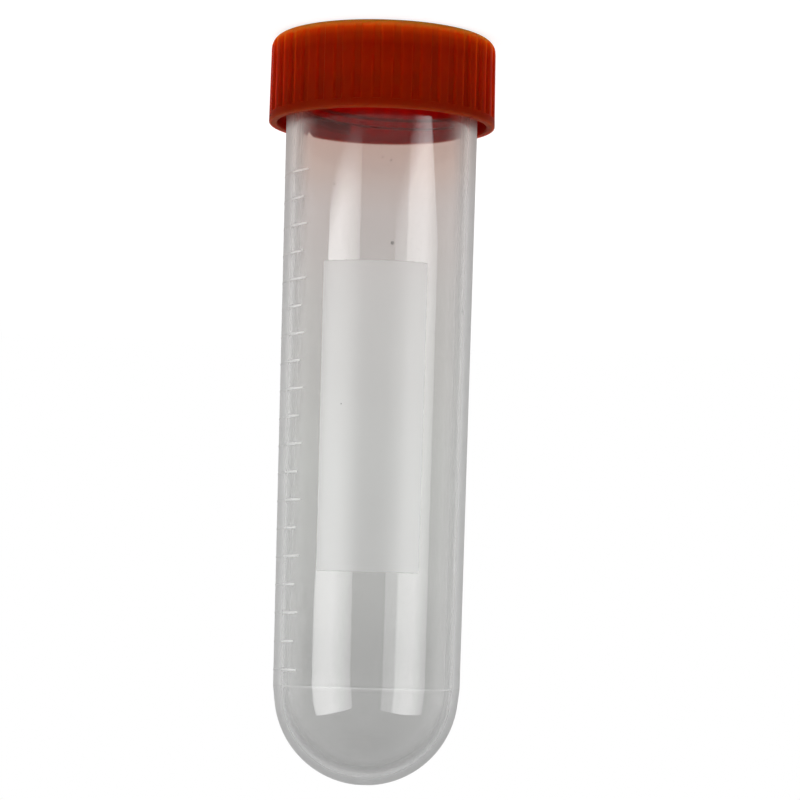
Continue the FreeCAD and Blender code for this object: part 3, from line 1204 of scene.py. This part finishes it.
def around(angle, distance, height):
    """A place at an angle from the front, as seen from the tube."""
    return Vector((math.sin(angle) * distance, -math.cos(angle) * distance, height))


def place_lamps(settings):
    middle = (0.0, 0.0, TUBE_LENGTH / 2)
    strips, fill = settings.strip_strength, settings.fill_strength
    left = soft_box(
        "left_strip",
        around(*LEFT_STRIP_PLACE),
        middle,
        LEFT_STRIP_SIZE,
        strips * LEFT_STRIP_SHARE,
        LEFT_STRIP_TILT,
    )
    mirror_only(left, LEFT_PROFILE, LEFT_START, LEFT_WAIST)
    right = soft_box(
        "right_strip",
        around(*RIGHT_STRIP_PLACE),
        middle,
        RIGHT_STRIP_SIZE,
        strips * RIGHT_STRIP_SHARE,
    )
    mirror_only(right, RIGHT_PROFILE, RIGHT_START, RIGHT_WAIST)
    for name, place, share in (
        ("left_fill", LEFT_FILL_PLACE, LEFT_FILL_SHARE),
        ("right_fill", RIGHT_FILL_PLACE, RIGHT_FILL_SHARE),
    ):
        soft_box(name, around(*place), middle, SIDE_FILL_SIZE, fill * share)
    soft_box("overhead_fill", OVERHEAD_PLACE, middle, OVERHEAD_SIZE, settings.top_strength)
    soft_box("floor_fill", LOW_PLACE, LOW_TARGET, LOW_SIZE, settings.low_strength)


def place_camera():
    """The camera sees the tube from the front, slightly from its round end, cap on top."""
    place = Vector((CAMERA_ASIDE, -CAMERA_DISTANCE, POLE - CAMERA_DROP))
    forward = Vector((0.0, math.cos(CAMERA_PITCH), -math.sin(CAMERA_PITCH)))
    level_up = Vector((0.0, -math.sin(CAMERA_PITCH), -math.cos(CAMERA_PITCH)))
    level_right = forward.cross(level_up)
    right = level_right * math.cos(CAMERA_ROLL) + level_up * math.sin(CAMERA_ROLL)
    up = level_up * math.cos(CAMERA_ROLL) - level_right * math.sin(CAMERA_ROLL)
    turned = Matrix((right, up, -forward)).transposed().to_4x4()
    rest()
    bpy.ops.object.camera_add(location=place)
    camera = bpy.context.object
    camera.matrix_world = Matrix.Translation(place) @ turned
    camera.data.lens = CAMERA_LENS
    camera.data.sensor_width = CAMERA_SENSOR
    camera.data.clip_start, camera.data.clip_end = CAMERA_CLIP
    bpy.context.scene.camera = camera


class SAMPLETUBE_OT_stage(Operator):
    """Builds the floor, the room, the soft boxes and the camera"""

    bl_idname = "sampletube.stage"
    bl_label = "Stage"

    def execute(self, context):
        settings = context.scene.sample_stage
        rest()
        bpy.ops.mesh.primitive_circle_add(
            vertices=FLOOR_SIDES, radius=FLOOR_RADIUS, fill_type="NGON"
        )
        floor = bpy.context.object
        floor.name = "studio_floor"
        floor.data.materials.append(floor_finish(settings))
        floor.visible_glossy = False
        room(settings)
        place_lamps(settings)
        place_camera()
        context.scene.view_settings.view_transform = "Standard"
        return {"FINISHED"}


class SAMPLETUBE_PT_panel(Panel):
    """The sample tube's sizes, finishes and pieces"""

    bl_idname = "SAMPLETUBE_PT_panel"
    bl_label = "Sample Tube"
    bl_space_type = "VIEW_3D"
    bl_region_type = "UI"
    bl_category = "Sample Tube"

    def draw(self, context):
        for group, operator in GROUPS:
            settings = getattr(context.scene, group)
            box = self.layout.box()
            for name in settings.__annotations__:
                box.prop(settings, name)
            box.operator(operator)


GROUPS = (
    ("sample_tube", "sampletube.tube"),
    ("sample_cap", "sampletube.cap"),
    ("sample_liner", "sampletube.liner"),
    ("sample_stage", "sampletube.stage"),
)
CLASSES = (
    TubeSettings,
    CapSettings,
    LinerSettings,
    StageSettings,
    SAMPLETUBE_OT_tube,
    SAMPLETUBE_OT_cap,
    SAMPLETUBE_OT_liner,
    SAMPLETUBE_OT_stage,
    SAMPLETUBE_PT_panel,
)


def register():
    for cls in CLASSES:
        bpy.utils.register_class(cls)
    bpy.types.Scene.sample_tube = PointerProperty(type=TubeSettings)
    bpy.types.Scene.sample_cap = PointerProperty(type=CapSettings)
    bpy.types.Scene.sample_liner = PointerProperty(type=LinerSettings)
    bpy.types.Scene.sample_stage = PointerProperty(type=StageSettings)


def unregister():
    for group, _ in GROUPS:
        delattr(bpy.types.Scene, group)
    for cls in reversed(CLASSES):
        bpy.utils.unregister_class(cls)


def main():
    register()
    bpy.ops.sampletube.tube()
    bpy.ops.sampletube.cap()
    bpy.ops.sampletube.liner()
    bpy.ops.sampletube.stage()


if __name__ == "__main__":
    main()
